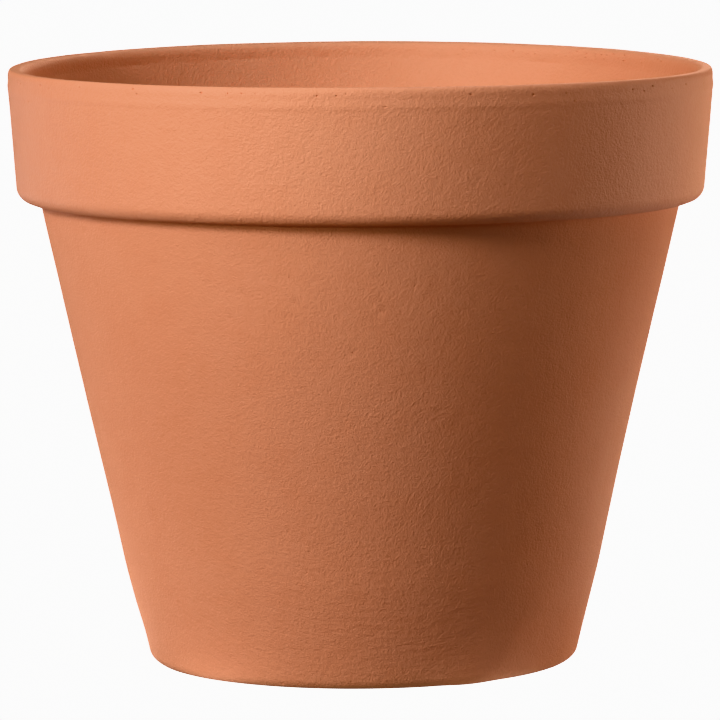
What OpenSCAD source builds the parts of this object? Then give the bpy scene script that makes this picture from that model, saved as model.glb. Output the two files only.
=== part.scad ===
// Standard clay flowerpot: a straight tapered wall, a deep rim band with a rounded lip,
// a flat floor and one drainage hole. It is one piece of fired clay, turned about the Z axis.
// Lengths are in millimetres and angles in degrees. The origin is the centre of the foot,
// on the surface that the pot stands on.

/* [Overall] */
// Height from the foot to the crest of the lip
pot_h = 259; // [200:1:360]
// Diameter at the widest point, where the lip meets the rim band
rim_d = 305; // [300:1:320]

/* [Rim band] */
// Height of the band, from its underside to the crest of the lip
rim_h = 58; // [45:1:90]
// Lean of the band's outer face, inward towards its foot
rim_lean = 4.7; // [0:0.1:6]
// Radius of the band's lower outer corner
rim_corner_r = 6.5; // [1:0.1:8]
// Radius of the hollow where the band's underside meets the wall
under_rim_r = 1.7; // [0.5:0.1:3]

/* [Lip] */
// Height of the lip's rounding on the outside
lip_out_h = 6.7; // [3:0.1:10]
// Width of the lip's rounding on the outside
lip_out_w = 2.1; // [1:0.1:4]
// Width of the flat crest
lip_flat_w = 1.2; // [0.4:0.1:3]
// Height of the lip's rounding on the inside
lip_in_h = 6.2; // [3:0.1:10]
// Width of the lip's rounding on the inside
lip_in_w = 4.2; // [1:0.1:5]

/* [Wall] */
// Outside diameter of the wall just under the rim band
wall_top_d = 277.4; // [270:0.1:280]
// Height above the foot where the wall's outside bends inward
bend_h = 44; // [32:1:90]
// Outside diameter of the wall at that bend
bend_d = 206.2; // [204:0.1:214]
// Radius that softens the bend
bend_r = 150; // [20:5:300]
// Outside diameter of the foot, before its corner is rounded
foot_d = 185.2; // [170:0.1:198]
// Radius of the foot's outer corner
foot_corner_r = 6; // [1:0.1:9]

/* [Inside] */
// Thickness of the floor
floor_t = 13; // [8:0.5:20]
// Inside diameter at the floor, before its corner is rounded
floor_in_d = 167; // [140:1:169]
// Radius of the hollow where the wall rises from the floor
floor_corner_r = 10; // [2:0.5:20]

/* [Drainage hole] */
// Diameter of the hole through the floor
drain_d = 25; // [10:0.5:40]
// Width of the bevel at each end of the hole
drain_bevel = 1.5; // [0.5:0.1:3]

/* [Hidden] */
clay = [0.80, 0.47, 0.32];

// Points along a rounded corner, and around the whole turn
CORNER_STEPS = 8;
LIP_STEPS = 12;
$fn = 180;

// Radii and heights that follow from the sizes above
rim_r = rim_d / 2;
widest_z = pot_h - lip_out_h;
under_rim_z = pot_h - rim_h;
rim_foot_r = rim_r - (widest_z - under_rim_z) * tan(rim_lean);
crest_out_r = rim_r - lip_out_w;
crest_in_r = crest_out_r - lip_flat_w;
mouth_r = crest_in_r - lip_in_w;
drain_r = drain_d / 2;

// Corners of the outline as [radius, height], before any is rounded
AXIS_FOOT = [0, 0];
FOOT = [foot_d / 2, 0];
BEND = [bend_d / 2, bend_h];
WALL_TOP = [wall_top_d / 2, under_rim_z];
RIM_FOOT = [rim_foot_r, under_rim_z];
WIDEST = [rim_r, widest_z];
MOUTH = [mouth_r, pot_h - lip_in_h];
FLOOR_CORNER = [floor_in_d / 2, floor_t];
AXIS_FLOOR = [0, floor_t];

function unit(v) = v / norm(v);

// Points of an arc of radius r that rounds the corner between two straight sides
function rounded(before, corner, after, r, steps = CORNER_STEPS) =
    let (
        to_before = unit(before - corner),
        to_after = unit(after - corner),
        half = acos(to_before * to_after) / 2,
        centre = corner + unit(to_before + to_after) * r / sin(half),
        start = corner + to_before * r / tan(half) - centre,
        end = corner + to_after * r / tan(half) - centre,
        from = atan2(start.y, start.x),
        sweep = (atan2(end.y, end.x) - from + 540) % 360 - 180
    )
    [for (i = [0 : steps])
        let (a = from + sweep * i / steps)
        centre + r * [cos(a), sin(a)]];

// Points of a quarter of an ellipse, from angle a1 to a2 about its centre
function elliptical(centre, w, h, a1, a2, steps = LIP_STEPS) =
    [for (i = [0 : steps])
        let (a = a1 + (a2 - a1) * i / steps)
        centre + [w * cos(a), h * sin(a)]];

// The outside, from the foot's corner up to the widest point
function outside() = concat(
    rounded(AXIS_FOOT, FOOT, BEND, foot_corner_r),
    rounded(FOOT, BEND, WALL_TOP, bend_r),
    rounded(BEND, WALL_TOP, RIM_FOOT, under_rim_r),
    rounded(WALL_TOP, RIM_FOOT, WIDEST, rim_corner_r)
);

// The lip, over its crest and down to the mouth
function lip() = concat(
    elliptical([crest_out_r, widest_z], lip_out_w, lip_out_h, 0, 90),
    elliptical([crest_in_r, MOUTH.y], lip_in_w, lip_in_h, 90, 180)
);

// The inside corner of the floor, from the wall to the flat
function inside() = rounded(MOUTH, FLOOR_CORNER, AXIS_FLOOR, floor_corner_r);

// The drainage hole through the floor, bevelled at both ends
function drain() = [
    [drain_r + drain_bevel, floor_t],
    [drain_r, floor_t - drain_bevel],
    [drain_r, drain_bevel],
    [drain_r + drain_bevel, 0]
];

// The whole pot: one outline turned about the axis
module pot() {
    color(clay)
        rotate_extrude()
            polygon(concat(outside(), lip(), inside(), drain()));
}

pot();
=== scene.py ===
"""A clay flowerpot, turned about Z, with the marks of pressing, trimming and firing.

The pot is one closed mesh. Its outline is worked out at every angle around the pot, so the lip,
the burr and the slight warp of the firing can change on the way round. Angles are in degrees
from the front (-Y), positive towards +X. The pot's sizes are in millimetres, and those of the
studio in metres.
"""
import math
import random

import bmesh
import bpy
from mathutils import Matrix, Vector, noise


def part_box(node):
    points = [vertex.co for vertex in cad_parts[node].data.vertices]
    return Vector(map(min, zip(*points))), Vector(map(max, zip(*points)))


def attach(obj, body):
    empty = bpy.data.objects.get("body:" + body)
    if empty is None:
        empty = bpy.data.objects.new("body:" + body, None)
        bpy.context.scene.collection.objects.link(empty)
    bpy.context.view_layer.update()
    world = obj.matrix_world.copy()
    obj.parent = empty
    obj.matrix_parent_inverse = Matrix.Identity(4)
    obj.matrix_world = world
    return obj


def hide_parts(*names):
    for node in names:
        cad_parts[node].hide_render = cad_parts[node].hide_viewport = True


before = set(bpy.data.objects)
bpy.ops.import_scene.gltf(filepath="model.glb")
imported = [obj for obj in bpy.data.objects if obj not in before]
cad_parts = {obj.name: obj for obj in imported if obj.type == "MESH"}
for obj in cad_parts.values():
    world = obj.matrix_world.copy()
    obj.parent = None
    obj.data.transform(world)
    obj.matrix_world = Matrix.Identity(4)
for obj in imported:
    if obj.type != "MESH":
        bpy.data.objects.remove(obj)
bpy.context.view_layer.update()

MM = 0.001
pot_low, pot_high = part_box("pot")
POT_H = (pot_high[2] - pot_low[2]) / MM
RIM_R = (pot_high[0] - pot_low[0]) / 2 / MM

# The outline, as the model has it
RIM_H = 58
RIM_LEAN = 4.7
RIM_CORNER_R = 6.5
UNDER_RIM_R = 1.7
LIP_OUT_H = 6.7
LIP_OUT_W = 2.1
LIP_FLAT_W = 1.2
LIP_IN_H = 6.2
LIP_IN_W = 4.2
WALL_TOP_R = 138.7
BEND_H = 44
BEND_CORNER_R = 103.1
BEND_R = 150
FOOT_R = 92.6
FOOT_CORNER_R = 6
FLOOR_T = 13
FLOOR_R = 83.5
FLOOR_CORNER_R = 10
DRAIN_R = 12.5
DRAIN_BEVEL = 1.5

WIDEST_Z = POT_H - LIP_OUT_H
UNDER_RIM_Z = POT_H - RIM_H
RIM_FOOT_R = RIM_R - (WIDEST_Z - UNDER_RIM_Z) * math.tan(math.radians(RIM_LEAN))

# The grid: columns around the pot, and rows along the outline that marks keep off at its two ends
COLUMNS = 480
END_ROWS = 8

# 1 makes the lip's rounding an ellipse; less makes it squarer
LIP_OUT_FULLNESS = 0.63
LIP_IN_FULLNESS = 0.72

# How far down the closer rows reach: outside for the bead under the lip, and inside for the burr
# and for the part of the inner wall that is seen over the rim
BEAD_BELOW_WIDEST = 4.5
BURR_BELOW_MOUTH = 2.4
SEEN_BELOW_MOUTH = 60

# How steeply the scraping strokes near the foot run along X and along Y, and how high up they go
STROKE_SLOPE = (0.10, -0.49)
STROKES_TOP_Z = 100

# Pinholes in the skin: angle, height, width, depth, and how much wider than high
PINHOLES = [
    (-72.4, 256.1, 1.2, 0.9, 1.0),
    (-71.0, 254.7, 0.8, 0.7, 1.0),
    (-67.5, 248.2, 1.1, 0.3, 1.4),
    (-62.6, 256.0, 1.1, 0.9, 1.3),
    (-59.0, 255.5, 0.7, 0.4, 1.0),
    (-50.6, 256.8, 0.8, 0.5, 1.0),
    (-38.0, 257.0, 0.9, 0.6, 1.2),
    (-37.4, 255.5, 0.7, 0.5, 1.0),
    (-25.2, 256.8, 0.9, 0.6, 1.6),
    (-21.3, 256.3, 0.7, 0.5, 1.0),
    (-18.8, 256.3, 0.8, 0.5, 1.0),
    (-16.7, 256.4, 0.6, 0.4, 1.0),
    (-6.5, 255.8, 0.8, 0.6, 1.0),
    (-3.7, 256.2, 0.7, 0.5, 1.0),
    (-2.2, 256.3, 0.6, 0.4, 1.0),
    (3.5, 251.2, 1.1, 0.3, 2.2),
    (17.6, 256.2, 0.8, 0.5, 1.0),
    (28.1, 255.4, 1.0, 0.7, 1.0),
    (33.8, 255.2, 0.8, 0.5, 1.0),
    (35.2, 251.9, 0.8, 0.4, 1.0),
    (47.8, 254.9, 0.9, 0.4, 1.2),
    (51.3, 253.4, 0.8, 0.4, 1.4),
    (53.4, 256.0, 1.0, 0.5, 1.5),
    (59.1, 254.2, 0.7, 0.5, 1.0),
    (64.7, 254.7, 0.9, 0.6, 1.4),
    (73.8, 253.4, 0.7, 0.5, 1.0),
    (-12.5, 179.0, 0.6, 0.2, 1.2),
    (-24.8, 161.5, 0.4, 0.2, 1.0),
    (-12.0, 167.0, 0.4, 0.2, 1.0),
    (2.1, 178.5, 0.5, 0.2, 1.0),
    (3.5, 165.0, 0.4, 0.2, 1.0),
    (-1.4, 148.0, 0.5, 0.3, 1.0),
    (-13.0, 51.5, 0.7, 0.2, 1.2),
    (-11.0, 49.5, 0.6, 0.15, 1.4),
    (-9.5, 53.5, 0.5, 0.15, 1.0),
    (20.0, 56.0, 0.5, 0.2, 1.0),
    (52.0, 34.5, 0.6, 0.3, 1.0),
    (-22.0, 2.2, 0.8, 0.3, 1.4),
    (-17.0, 2.0, 0.7, 0.3, 1.3),
    (-13.0, 2.4, 0.7, 0.3, 1.3),
]
SCATTERED_PINHOLES = 85
SCATTERED_GRAINS = 40
CRUMBS = 34

# Heights between which the scattered marks fall. In the lip they keep beyond this angle from the
# front, because the pinholes that the camera sees there are listed above.
WALL_SPAN = (12, 196)
LIP_SPAN = (248, 255)
SEEN_ANGLE = 76

# Crumbs of clay on the burr, inside at the back right: least, greatest and likeliest angle
CRUMB_ANGLES = (96, 165, 118)

# The rings of a crater, from its edge inward: share of its radius, and share of its depth
CRATER_RINGS = ((1.25, 0.0), (1.0, 0.08), (0.8, 0.6), (0.45, 0.95))

# Colours of the clay: as it mostly is, paler with salts, redder, and the dark grains in it
CLAY = (0.62, 0.235, 0.126)
CLAY_PALE = (0.67, 0.28, 0.16)
CLAY_RED = (0.58, 0.20, 0.10)
CLAY_DARK = (0.42, 0.145, 0.07)

# The camera: lens and sensor in millimetres, place in metres, turns in degrees
SENSOR_W = 36
LENS = 317.6
CAMERA_PLACE = (0.0002, -2.7442, 0.4435)
CAMERA_LEFT = 0.0045
CAMERA_DOWN = 6.5145
CAMERA_ROLL = -0.46

# The studio lights stand this far from what they point at, which is mostly the pot's middle
STUDIO_REACH = 2.2
POT_MIDDLE = (0, 0, 0.13)

# The lights that stand in for the lit floor lie this far below it, and shine up through it
BOUNCE_DROP = 0.004


# ---------------------------------------------------------------- outline
def line(a, b, steps):
    """Points from a towards b, without b itself."""
    return [(a[0] + (b[0] - a[0]) * i / steps, a[1] + (b[1] - a[1]) * i / steps) for i in range(steps)]


def corner(before, at, after, radius, steps):
    """Points of the arc that rounds a corner between two straight sides."""
    at = Vector(at)
    to_before = (Vector(before) - at).normalized()
    to_after = (Vector(after) - at).normalized()
    half = to_before.angle(to_after) / 2
    centre = at + (to_before + to_after).normalized() * radius / math.sin(half)
    start = at + to_before * radius / math.tan(half) - centre
    end = at + to_after * radius / math.tan(half) - centre
    begin = math.atan2(start.y, start.x)
    turn = (math.atan2(end.y, end.x) - begin + 3 * math.pi) % (2 * math.pi) - math.pi
    turns = [begin + turn * i / steps for i in range(steps + 1)]
    return [(centre.x + radius * math.cos(a), centre.y + radius * math.sin(a)) for a in turns]


def squarish(centre, width, height, fullness, steps):
    """Points of a quarter like an ellipse's but fuller, from its side up to its top."""
    points = []
    for i in range(steps + 1):
        a = math.radians(90 * i / steps)
        side, up = max(math.cos(a), 0) ** fullness, math.sin(a) ** fullness
        points.append((centre[0] + width * side, centre[1] + height * up))
    return points


def under_rim(angle):
    """Height of the rim band's underside, which the tool left a little higher at the front."""
    return UNDER_RIM_Z + 0.4 + 0.5 * math.cos(math.radians(angle + 30))


def rim_corner_radius(angle):
    """The band's lower corner is a little tighter at the front."""
    return RIM_CORNER_R - 0.5 * bell(angle, 60)


def lip_depth(angle):
    """How far down the trimmed band inside the lip goes, which is not the same all round."""
    return LIP_IN_H + 0.5 * math.cos(math.radians(angle - 95)) - 0.5 * math.cos(math.radians(2 * angle))


def foot_to_rim(angle):
    """The outside, from the drainage hole's edge under the foot up to the top of the rim band."""
    foot, bend, widest = (FOOT_R, 0), (BEND_CORNER_R, BEND_H), (RIM_R, WIDEST_Z)
    wall_top, rim_foot = (WALL_TOP_R, under_rim(angle)), (RIM_FOOT_R, under_rim(angle))
    foot_arc = corner((0, 0), foot, bend, FOOT_CORNER_R, 9)
    bend_arc = corner(foot, bend, wall_top, BEND_R, 8)
    hollow = corner(bend, wall_top, rim_foot, UNDER_RIM_R, 5)
    rim_arc = corner(wall_top, rim_foot, widest, rim_corner_radius(angle), 10)
    lean = (RIM_R - RIM_FOOT_R) / (WIDEST_Z - UNDER_RIM_Z)
    bead = (RIM_R - lean * BEAD_BELOW_WIDEST, WIDEST_Z - BEAD_BELOW_WIDEST)

    points = line((DRAIN_R + DRAIN_BEVEL, 0), foot_arc[0], 9)
    points += foot_arc
    points += line(foot_arc[-1], bend_arc[0], 9)[1:]
    points += bend_arc
    points += line(bend_arc[-1], hollow[0], 44)[1:]
    points += hollow
    points += rim_arc
    points += line(rim_arc[-1], bead, 20)[1:]
    points += line(bead, widest, 9)
    return points


def lip(angle):
    """The lip, up over its crest and down to the mouth."""
    crest_out = RIM_R - LIP_OUT_W
    crest_in = crest_out - LIP_FLAT_W
    depth = lip_depth(angle)
    up = squarish((crest_out, WIDEST_Z), LIP_OUT_W, LIP_OUT_H, LIP_OUT_FULLNESS, 12)
    down = squarish((crest_in, POT_H - depth), -LIP_IN_W, depth, LIP_IN_FULLNESS, 10)
    return up + down[::-1]


def mouth_to_drain(mouth):
    """The inside, from just below the mouth down to the floor and through the drainage hole."""
    drain_edge = DRAIN_R + DRAIN_BEVEL
    floor_arc = corner(mouth, (FLOOR_R, FLOOR_T), (0, FLOOR_T), FLOOR_CORNER_R, 6)
    down = (Vector(floor_arc[0]) - Vector(mouth)).normalized()
    below = (mouth[0] + down.x * BURR_BELOW_MOUTH, mouth[1] + down.y * BURR_BELOW_MOUTH)
    seen = (mouth[0] + down.x * SEEN_BELOW_MOUTH, mouth[1] + down.y * SEEN_BELOW_MOUTH)

    points = line(mouth, below, 5)[1:]
    points += line(below, seen, 15)
    points += line(seen, floor_arc[0], 12)
    points += floor_arc
    points += line(floor_arc[-1], (drain_edge, FLOOR_T), 6)[1:]
    points += [(drain_edge, FLOOR_T), (DRAIN_R, FLOOR_T - DRAIN_BEVEL)]
    points += [(DRAIN_R, FLOOR_T / 2), (DRAIN_R, DRAIN_BEVEL)]
    return points


def outline(angle):
    """The closed outline at one angle: under the foot, up the outside, over the lip, down the inside."""
    over_lip = lip(angle)
    return foot_to_rim(angle) + over_lip + mouth_to_drain(over_lip[-1])


def highest_row(points):
    """The row on the lip's crest, which parts the outside from the inside."""
    return max(range(len(points)), key=lambda i: points[i][1])


# ---------------------------------------------------------------- the shape of the clay
def bell(x, width):
    """1 where x is zero, falling off smoothly on both sides."""
    return math.exp(-((x / width) ** 2))


def angle_between(a, b):
    """The turn from b to a, from -180 to 180."""
    return (a - b + 180) % 360 - 180


def wavy(x, y, z, size, seed):
    """Smooth noise from -1 to 1, with features about size millimetres across."""
    return noise.noise(Vector((x / size + seed, y / size, z / size)))


def unevenness(x, y, z):
    """Broad, middling and small waves of hand-made clay, inside and out."""
    return 0.22 * wavy(x, y, z, 70, 3.1) + 0.07 * wavy(x, y, z, 22, 11.7) + 0.035 * wavy(x, y, z, 9, 23.3)


def wall_swelling(angle, z):
    """The wall swells a little where it bends, and is pressed in at the left of the foot."""
    swelling = 0.40 * bell(z - 40, 20)
    return swelling - 0.55 * bell(z - 10, 12) * bell(angle_between(angle, -92), 30)


def bead_and_hollow(x, y, z):
    """A faint bead and groove around the top of the rim band, with a shallow hollow over them."""
    below = WIDEST_Z - z
    if not -6 < below < 8:
        return 0
    strong = 0.75 + 0.5 * wavy(x, y, 0, 35, 5.9)
    bead = 0.13 * bell(below - 1.4, 1.3)
    groove = 0.05 * bell(below - 3.2, 0.7)
    hollow = 0.20 * bell(below + 1.9, 1.5)
    return strong * (bead - groove) - hollow


def scraped_ridge(angle, z):
    """One slanting ridge that a scraper left near the foot, at the front right."""
    right_of_ridge = 1.33 * angle_between(angle, 41) - 0.7 * (z - 22)
    return 0.8 * bell(right_of_ridge, 10) * bell(z - 16, 24)


def scraping_strokes(x, y, z):
    """Fine slanting strokes, strongest at the foot."""
    if not FOOT_CORNER_R < z < STROKES_TOP_Z:
        return 0
    across = z + STROKE_SLOPE[0] * x + STROKE_SLOPE[1] * y
    return 0.05 * (1 - z / STROKES_TOP_Z) * noise.noise(Vector((x / 24, y / 24, across / 3.6)))


def turning_rings(x, y, z):
    """Faint level rings on the inner wall, above the floor's corner."""
    if z <= FLOOR_T + FLOOR_CORNER_R:
        return 0
    return 0.05 * noise.noise(Vector((x / 90, y / 90, z / 7)))


def relief(angle, r, z, outside):
    """How far the surface stands out from the plain outline at a place, in millimetres."""
    a = math.radians(angle)
    x, y = r * math.sin(a), -r * math.cos(a)
    out = unevenness(x, y, z)
    if not outside:
        return out + turning_rings(x, y, z)
    out += wall_swelling(angle, z)
    if z > UNDER_RIM_Z + 1:
        out += 0.17
    out += bead_and_hollow(x, y, z)
    out += scraped_ridge(angle, z)
    return out + scraping_strokes(x, y, z)


def burr(angle, depth_below_mouth):
    """The ragged edge that the trimming tool left under the lip, inside."""
    a = math.radians(angle)
    ragged = noise.noise(Vector((14 * math.sin(a), 14 * math.cos(a), 2.5)))
    ragged += 0.6 * noise.noise(Vector((45 * math.sin(a), 45 * math.cos(a), 7.5)))
    patchy = max(0.0, ragged - 0.15)
    return 0.08 * bell(depth_below_mouth, 0.8) - (0.03 + 0.5 * patchy) * bell(depth_below_mouth - 1.0, 0.7)


def warp(x, y, z):
    """The slight warp of the firing: the rim sags, tips and is saddle-shaped, and the wall bows."""
    up = max(0.0, min(1.0, z / POT_H))
    r = max(math.hypot(x, y), 1e-6)
    sag = 0.38 * up * up
    saddle = 0.64 * (y * y - x * x) / (r * r) * up * up * r / RIM_R
    tip = 0.0042 * x * up
    z_new = z - sag + saddle - tip
    lean = 0.0033 * z_new
    bow = 0.28 * math.cos(2 * math.pi * up)
    return x + lean + bow, y, z_new


# ---------------------------------------------------------------- the mesh
def grid_place(angle, z, rows, inner=False):
    """The column and row of the grid at an angle and a height, on the outside or inside the mouth."""
    points = outline(angle)
    highest = highest_row(points)
    span = range(highest, rows - END_ROWS) if inner else range(END_ROWS, highest)
    row = min(span, key=lambda i: abs(points[i][1] - z))
    return round((angle + 180) / 360 * COLUMNS) % COLUMNS, row


class Skin:
    """The grid of points, with patches of it taken out for pinholes and grains."""

    def __init__(self, points, rows):
        self.points, self.rows = points, rows
        self.taken, self.faces = set(), []

    def at(self, c, i):
        """The number of the point in a column and a row."""
        return (c % COLUMNS) * self.rows + i % self.rows

    def place(self, c, i):
        """Where the point in a column and a row is."""
        return Vector(self.points[self.at(c, i)])

    def patch(self, column, row, radius, wide):
        """The loop of points around a patch that a mark of this radius fits in, or None if it's taken."""
        here = self.place(column, row)
        column_gap = (self.place(column + 1, row) - here).length
        half = max(1, math.ceil(1.4 * radius * wide / column_gap))
        left, right = column - half, column + half
        low = high = row
        while (self.place(column, high) - here).length < 1.45 * radius:
            high += 1
        while (self.place(column, low) - here).length < 1.45 * radius:
            low -= 1
        cells = {(c % COLUMNS, i) for c in range(left, right) for i in range(low, high)}
        if cells & self.taken:
            return None
        self.taken |= cells
        loop = [self.at(c, low) for c in range(left, right)]
        loop += [self.at(right, i) for i in range(low, high)]
        loop += [self.at(c, high) for c in range(right, left, -1)]
        loop += [self.at(left, i) for i in range(high, low, -1)]
        return loop

    def join(self, ring_a, ring_b):
        """Faces between two rings with the same number of points."""
        for k in range(len(ring_a)):
            m = (k + 1) % len(ring_a)
            self.faces.append((ring_a[k], ring_a[m], ring_b[m], ring_b[k]))

    def add_point(self, point):
        """Adds a point, and returns its number."""
        self.points.append(tuple(point))
        return len(self.points) - 1

    def ring(self, centre, outward, corners, reaches, wide, drop):
        """One ring of a mark: towards each corner, as far out as its reach, and dropped inward."""
        across = Vector((-centre.y, centre.x, 0)).normalized()
        numbers = []
        for corner_point, reach in zip(corners, reaches):
            side = corner_point - centre
            lift = side.dot(outward)
            level = side - outward * lift
            flat = level.normalized() * reach
            flat += across * flat.dot(across) * (wide - 1)
            part = flat.length / max(level.length, 1e-9)
            numbers.append(self.add_point(centre + flat + outward * (lift * part - drop)))
        return numbers

    def mark(self, column, row, width, depth, wide, rng):
        """A small crater, or a raised grain where the depth is negative."""
        radius = width * MM / 2
        loop = self.patch(column, row, radius, wide)
        if not loop:
            return
        corners = [Vector(self.points[k]) for k in loop]
        centre = self.place(column, row)
        outward = Vector((0, 0, 0))
        for a, b in zip(corners, corners[1:] + corners[:1]):
            outward += (a - centre).cross(b - centre)
        outward.normalize()
        rough = [rng.uniform(0.82, 1.18) for _ in corners]
        rings = [loop]
        for share, down in CRATER_RINGS:
            reaches = [radius * share * k for k in rough]
            rings.append(self.ring(centre, outward, corners, reaches, wide, depth * MM * down))
        for ring_a, ring_b in zip(rings, rings[1:]):
            self.join(ring_a, ring_b)
        bottom = self.add_point(centre - outward * depth * MM)
        last = rings[-1]
        for a, b in zip(last, last[1:] + last[:1]):
            self.faces.append((a, b, bottom))

    def all_faces(self):
        """The grid's faces outside the patches, and then those of the marks."""
        plain = []
        for c in range(COLUMNS):
            for i in range(self.rows):
                if (c, i) not in self.taken:
                    quad = (self.at(c, i), self.at(c + 1, i), self.at(c + 1, i + 1), self.at(c, i + 1))
                    plain.append(quad)
        return plain + self.faces


def mark_skin(skin):
    """Pinholes and grains: first the ones seen from the front, then scattered ones all round."""
    rng = random.Random(11)
    for angle, z, width, depth, wide in PINHOLES:
        skin.mark(*grid_place(angle, z, skin.rows), width, depth, wide, rng)
    for _ in range(CRUMBS):
        angle = rng.triangular(*CRUMB_ANGLES)
        place = grid_place(angle, POT_H - rng.uniform(1.2, 4.0), skin.rows, inner=True)
        width, height = rng.uniform(0.7, 1.2), rng.uniform(0.25, 0.5)
        skin.mark(*place, width, -height, 1.3, rng)
    for _ in range(SCATTERED_PINHOLES):
        angle = rng.uniform(-180, 180)
        z = rng.choice((rng.uniform(*WALL_SPAN), rng.uniform(*LIP_SPAN)))
        if abs(angle) > SEEN_ANGLE or z < WALL_SPAN[1]:
            width, depth = rng.uniform(0.3, 0.6), rng.uniform(0.1, 0.3)
            skin.mark(*grid_place(angle, z, skin.rows), width, depth, 1.1, rng)
    for _ in range(SCATTERED_GRAINS):
        angle, z = rng.uniform(-180, 180), rng.uniform(*WALL_SPAN)
        width, height = rng.uniform(0.5, 0.8), rng.uniform(0.05, 0.15)
        skin.mark(*grid_place(angle, z, skin.rows), width, -height, 1.2, rng)


def standing_out(angle, r, z, outside):
    """The relief and the burr together. The drainage hole stays true, and the underside nearly flat."""
    if r < DRAIN_R + DRAIN_BEVEL + 0.1:
        return 0
    out = relief(angle, r, z, outside)
    below_mouth = POT_H - lip_depth(angle) - z
    if not outside and -3 < below_mouth < 6:
        out += burr(angle, below_mouth)
    if z < 0.5:
        out = min(out, 0) * 0.3
    return out


def column_of_points(angle):
    """One column of the grid: the outline at an angle, with its relief, warped, in metres."""
    points = outline(angle)
    highest = highest_row(points)
    a = math.radians(angle)
    column = []
    for i, (r, z) in enumerate(points):
        before, after = points[i - 1], points[(i + 1) % len(points)]
        along = Vector((after[0] - before[0], after[1] - before[1])).normalized()
        out = standing_out(angle, r, z, i < highest)
        r2, z2 = r + out * along.y, z - out * along.x
        warped = warp(r2 * math.sin(a), -r2 * math.cos(a), max(z2, 0))
        column.append(tuple(v * MM for v in warped))
    return column


def build_clay():
    """The whole pot as one closed grid of rows and columns."""
    verts = []
    for c in range(COLUMNS):
        verts += column_of_points(360 * c / COLUMNS - 180)
    skin = Skin(verts, len(verts) // COLUMNS)
    mark_skin(skin)
    mesh = bpy.data.meshes.new("clay_pot")
    mesh.from_pydata(skin.points, [], skin.all_faces())
    # The grid's points under the marks are in no face now
    shell = bmesh.new()
    shell.from_mesh(mesh)
    bmesh.ops.delete(shell, geom=[v for v in shell.verts if not v.link_faces], context="VERTS")
    open_edges = sum(not e.is_manifold for e in shell.edges)
    shell.to_mesh(mesh)
    shell.free()
    for poly in mesh.polygons:
        poly.use_smooth = True
    pot = bpy.data.objects.new("clay_pot", mesh)
    bpy.context.collection.objects.link(pot)
    mesh.calc_loop_triangles()
    print("clay_pot", skin.rows, "rows", len(mesh.loop_triangles), "triangles", open_edges, "open edges")
    return pot


# ---------------------------------------------------------------- materials
class Nodes:
    """Makes and joins the nodes of one material."""

    def __init__(self, name):
        self.material = bpy.data.materials.new(name)
        self.material.use_nodes = True
        self.tree = self.material.node_tree
        self.shader = self.tree.nodes["Principled BSDF"]
        self.place = self.add("ShaderNodeTexCoord").outputs["Object"]

    def add(self, kind):
        return self.tree.nodes.new(kind)

    def link(self, a, b):
        self.tree.links.new(a, b)

    def height(self):
        """How high a place is."""
        axes = self.add("ShaderNodeSeparateXYZ")
        self.link(self.place, axes.inputs[0])
        return axes.outputs["Z"]

    def along_strokes(self, length):
        """Places, drawn out along the scraping strokes."""
        across = self.add("ShaderNodeVectorMath")
        across.operation = "DOT_PRODUCT"
        across.inputs[1].default_value = (*STROKE_SLOPE, 1)
        self.link(self.place, across.inputs[0])
        short = self.add("ShaderNodeVectorMath")
        short.operation = "MULTIPLY"
        short.inputs[1].default_value = (1 / length, 1 / length, 0)
        self.link(self.place, short.inputs[0])
        height_only = self.add("ShaderNodeCombineXYZ")
        self.link(across.outputs["Value"], height_only.inputs["Z"])
        both = self.add("ShaderNodeVectorMath")
        self.link(short.outputs["Vector"], both.inputs[0])
        self.link(height_only.outputs["Vector"], both.inputs[1])
        return both.outputs["Vector"]

    def speckle(self, scale, detail, vector=None, roughness=0.5):
        """Noise that is finer the larger the scale is."""
        node = self.add("ShaderNodeTexNoise")
        node.inputs["Scale"].default_value = scale
        node.inputs["Detail"].default_value = detail
        node.inputs["Roughness"].default_value = roughness
        self.link(vector or self.place, node.inputs["Vector"])
        return node.outputs["Fac"]

    def spread(self, value, low, high, to_low=0.0, to_high=1.0):
        """The value, taken from one range to another and kept within it."""
        node = self.add("ShaderNodeMapRange")
        for name, v in zip(("From Min", "From Max", "To Min", "To Max"), (low, high, to_low, to_high)):
            node.inputs[name].default_value = v
        self.link(value, node.inputs["Value"])
        return node.outputs["Result"]

    def times(self, a, b):
        """Two values multiplied."""
        node = self.add("ShaderNodeMath")
        node.operation = "MULTIPLY"
        self.link(a, node.inputs[0])
        self.link(b, node.inputs[1])
        return node.outputs["Value"]

    def tint(self, colour, shade, strength):
        """Mixes colour towards a shade by a value."""
        node = self.add("ShaderNodeMix")
        node.data_type = "RGBA"
        self.link(strength, node.inputs["Factor"])
        if isinstance(colour, tuple):
            node.inputs["A"].default_value = (*colour, 1)
        else:
            self.link(colour, node.inputs["A"])
        node.inputs["B"].default_value = (*shade, 1)
        return node.outputs["Result"]

    def bump(self, height, distance, onto=None):
        """A bump of some millimetres, on top of another one if that is given."""
        node = self.add("ShaderNodeBump")
        node.inputs["Distance"].default_value = distance * MM
        self.link(height, node.inputs["Height"])
        if onto:
            self.link(onto, node.inputs["Normal"])
        return node.outputs["Normal"]


def clay_colour(nodes):
    """Mottled clay: large pale and small red patches, with dark and pale grains."""
    colour = nodes.tint(CLAY, CLAY_PALE, nodes.spread(nodes.speckle(14, 3), 0.4, 0.7, 0, 0.25))
    colour = nodes.tint(colour, CLAY_RED, nodes.spread(nodes.speckle(75, 3), 0.45, 0.8, 0, 0.25))
    colour = nodes.tint(colour, CLAY_DARK, nodes.spread(nodes.speckle(900, 2), 0.5, 0.85, 0, 0.14))
    return nodes.tint(colour, CLAY_PALE, nodes.spread(nodes.speckle(420, 2), 0.5, 0.8, 0, 0.2))


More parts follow.
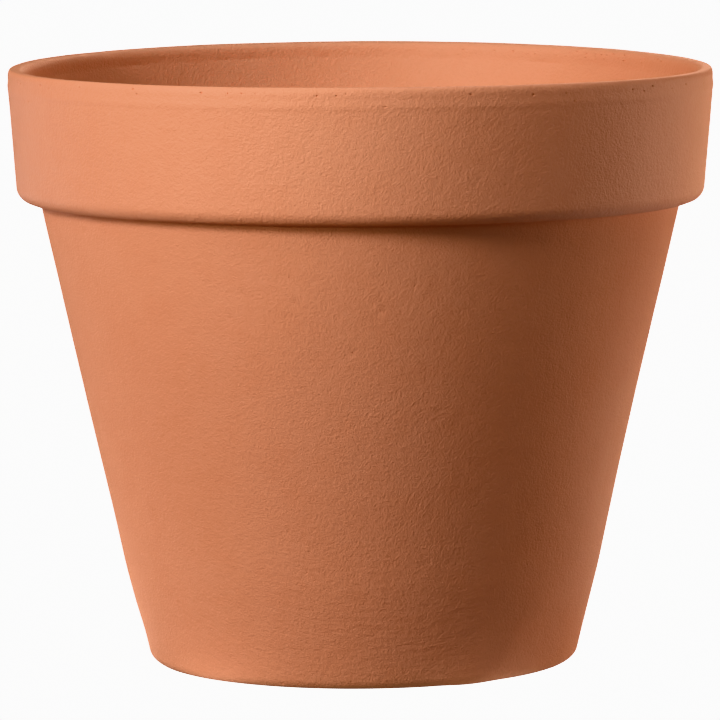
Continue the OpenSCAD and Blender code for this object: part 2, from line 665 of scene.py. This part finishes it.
def clay_skin(nodes, on_rim):
    """Waves, peel and grain in the surface, and strokes dragged along it near the foot."""
    near_foot = nodes.spread(nodes.height(), 20 * MM, 90 * MM, 1, 0)
    waves = nodes.speckle(190, 2)
    peel = nodes.times(nodes.speckle(700, 1.5), nodes.spread(on_rim, 0, 1, 1.0, 1.2))
    drag = nodes.times(nodes.speckle(520, 2, nodes.along_strokes(5)), near_foot)
    grain = nodes.times(nodes.speckle(1300, 2, roughness=0.6), nodes.spread(on_rim, 0, 1, 1.0, 0.9))
    skin = nodes.bump(waves, 0.20)
    skin = nodes.bump(peel, 0.20, skin)
    skin = nodes.bump(drag, 0.25, skin)
    return nodes.bump(grain, 0.27, skin)


def clay_material():
    """Matt fired clay, a little smoother on the rim band."""
    nodes = Nodes("terracotta")
    on_rim = nodes.spread(nodes.height(), (UNDER_RIM_Z - 5) * MM, (UNDER_RIM_Z + 5) * MM)
    nodes.link(clay_colour(nodes), nodes.shader.inputs["Base Color"])
    nodes.link(nodes.spread(on_rim, 0, 1, 0.85, 0.6), nodes.shader.inputs["Roughness"])
    nodes.shader.inputs["Specular Tint"].default_value = (1.0, 0.7, 0.5, 1)
    nodes.link(clay_skin(nodes, on_rim), nodes.shader.inputs["Normal"])
    return nodes.material


def stage_material(name, grey, glow):
    """A plain matt surface of the stage that glows white."""
    mat = bpy.data.materials.new(name)
    mat.use_nodes = True
    shader = mat.node_tree.nodes["Principled BSDF"]
    shader.inputs["Base Color"].default_value = (grey, grey, grey, 1)
    shader.inputs["Roughness"].default_value = 1
    shader.inputs["Specular IOR Level"].default_value = 0
    shader.inputs["Emission Color"].default_value = (1, 1, 1, 1)
    shader.inputs["Emission Strength"].default_value = glow
    return mat


# ---------------------------------------------------------------- the studio
def make_stage():
    """A pale floor and a white surround. The camera sees them, but they don't light or shade the pot."""
    bpy.ops.mesh.primitive_plane_add(size=40)
    floor = bpy.context.object
    floor.name = "floor"
    floor.data.materials.append(stage_material("floor_white", 0.02, 2.5))
    bpy.ops.mesh.primitive_uv_sphere_add(radius=18, segments=32, ring_count=16)
    surround = bpy.context.object
    surround.name = "surround"
    surround.data.materials.append(stage_material("surround_white", 0.0, 2.6))
    for thing in (floor, surround):
        thing.visible_diffuse = False
        thing.visible_glossy = False
        thing.visible_shadow = False


def make_dark_world():
    """A black world, so that the lamps give all the light."""
    world = bpy.data.worlds.new("studio")
    world.use_nodes = True
    world.node_tree.nodes["Background"].inputs["Strength"].default_value = 0
    bpy.context.scene.world = world


def make_camera():
    """The camera at the photograph's viewing angle, a long lens from well back."""
    data = bpy.data.cameras.new("camera")
    data.sensor_width = SENSOR_W
    data.lens = LENS
    data.clip_end = 100
    camera = bpy.data.objects.new("camera", data)
    turn = Matrix.Rotation(math.radians(CAMERA_LEFT), 4, "Z")
    pitch = Matrix.Rotation(math.radians(90 - CAMERA_DOWN), 4, "X")
    roll = Matrix.Rotation(math.radians(CAMERA_ROLL), 4, "Z")
    camera.matrix_world = Matrix.Translation(CAMERA_PLACE) @ turn @ pitch @ roll
    bpy.context.collection.objects.link(camera)
    bpy.context.scene.camera = camera


def lamp(name, kind, power, colour):
    """A light of a kind, at the origin; its power is in watts."""
    data = bpy.data.lights.new(name, kind)
    data.color = colour
    data.energy = power
    light = bpy.data.objects.new(name, data)
    bpy.context.collection.objects.link(light)
    return light


def aim(light, azimuth, elevation, distance, target):
    """Stands a light off from a place in a direction, pointing back at the place."""
    a, e = math.radians(azimuth), math.radians(elevation)
    offset = Vector((math.sin(a) * math.cos(e), -math.cos(a) * math.cos(e), math.sin(e))) * distance
    light.location = Vector(target) + offset
    light.rotation_euler = offset.to_track_quat("Z", "Y").to_euler()


def softbox(name, azimuth, elevation, power, colour=(1, 1, 1), size=0.9, distance=STUDIO_REACH):
    """A round studio light that points at the middle of the pot."""
    light = lamp(name, "AREA", power, colour)
    light.data.shape = "DISK"
    light.data.size = size
    aim(light, azimuth, elevation, distance, POT_MIDDLE)


def soft_spot(name, azimuth, elevation, target, width, power, colour):
    """A spot with a wide soft edge; its width is in degrees."""
    light = lamp(name, "SPOT", power, colour)
    light.data.spot_size = math.radians(width)
    light.data.spot_blend = 1.0
    light.data.shadow_soft_size = 0.05
    aim(light, azimuth, elevation, STUDIO_REACH, target)


def floor_bounce(name, azimuth, out, size, power, colour=(1, 1, 1), across=None):
    """Light that comes back up from the lit floor; size runs along the foot, and across away from it."""
    a = math.radians(azimuth)
    light = lamp(name, "AREA", power, colour)
    light.data.shape = "ELLIPSE"
    light.data.size = size
    light.data.size_y = across or size
    light.location = (out * math.sin(a), -out * math.cos(a), -BOUNCE_DROP)
    light.rotation_euler = (math.pi, 0, a)


def light_the_pot():
    """The key at the front left, softer lights all round it, and what the floor sends back up."""
    softbox("key", -45, 25, 45, size=0.6)
    softbox("low_left", -75, 0, 10.9, (1.0, 0.97, 0.91))
    softbox("edge_left", -130, -10, 8)
    softbox("near", 0, 45, 0.52, (1.0, 0.97, 0.91), size=0.3, distance=0.6)
    softbox("fill", 45, 20, 6, (0.4, 0.71, 1.0))
    softbox("right", 110, 0, 27.3, (1.0, 0.76, 0.6))
    softbox("low_back", 150, -10, 8.5, (1.0, 0.58, 0.33))
    softbox("back", 165, 20, 15.8, (1.0, 0.58, 0.4))
    softbox("over", 135, 70, 13, (0.78, 0.92, 1.0))
    softbox("top", -90, 88, 8.5, (0.8, 0.96, 1.0))
    soft_spot("rim_spot", -18, 12, (-0.05, -0.143, 0.255), 6, 46, (0.82, 1.0, 0.95))
    soft_spot("inner_spot", -5, 35, (0.068, 0.135, 0.25), 4.6, 24, (0.85, 1.0, 1.0))
    floor_bounce("bounce_left", -105, 0.17, 0.16, 0.137, (1.0, 0.97, 0.85))
    floor_bounce("bounce_right", 105, 0.3, 0.3, 0.37, (0.51, 0.88, 1.0))
    floor_bounce("foot_left", -45, 0.115, 0.05, 0.0025)
    floor_bounce("foot_right", 45, 0.115, 0.05, 0.0018, (0.67, 0.85, 1.0))
    floor_bounce("corner_left", -42, 0.102, 0.09, 0.0014, across=0.016)
    floor_bounce("corner_right", 32, 0.102, 0.07, 0.0008, across=0.016)
    floor_bounce("foot_glow", 0, 0, 0.2, 0.041, (0.89, 1.0, 1.0))
    floor_bounce("floor_glow", 0, 0, 4.0, 6.1, (1.0, 0.78, 0.94))


clay_pot = build_clay()
clay_pot.data.materials.append(clay_material())
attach(clay_pot, "root")
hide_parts("pot")

make_stage()
make_dark_world()
make_camera()
light_the_pot()
bpy.context.scene.view_settings.view_transform = "Khronos PBR Neutral"
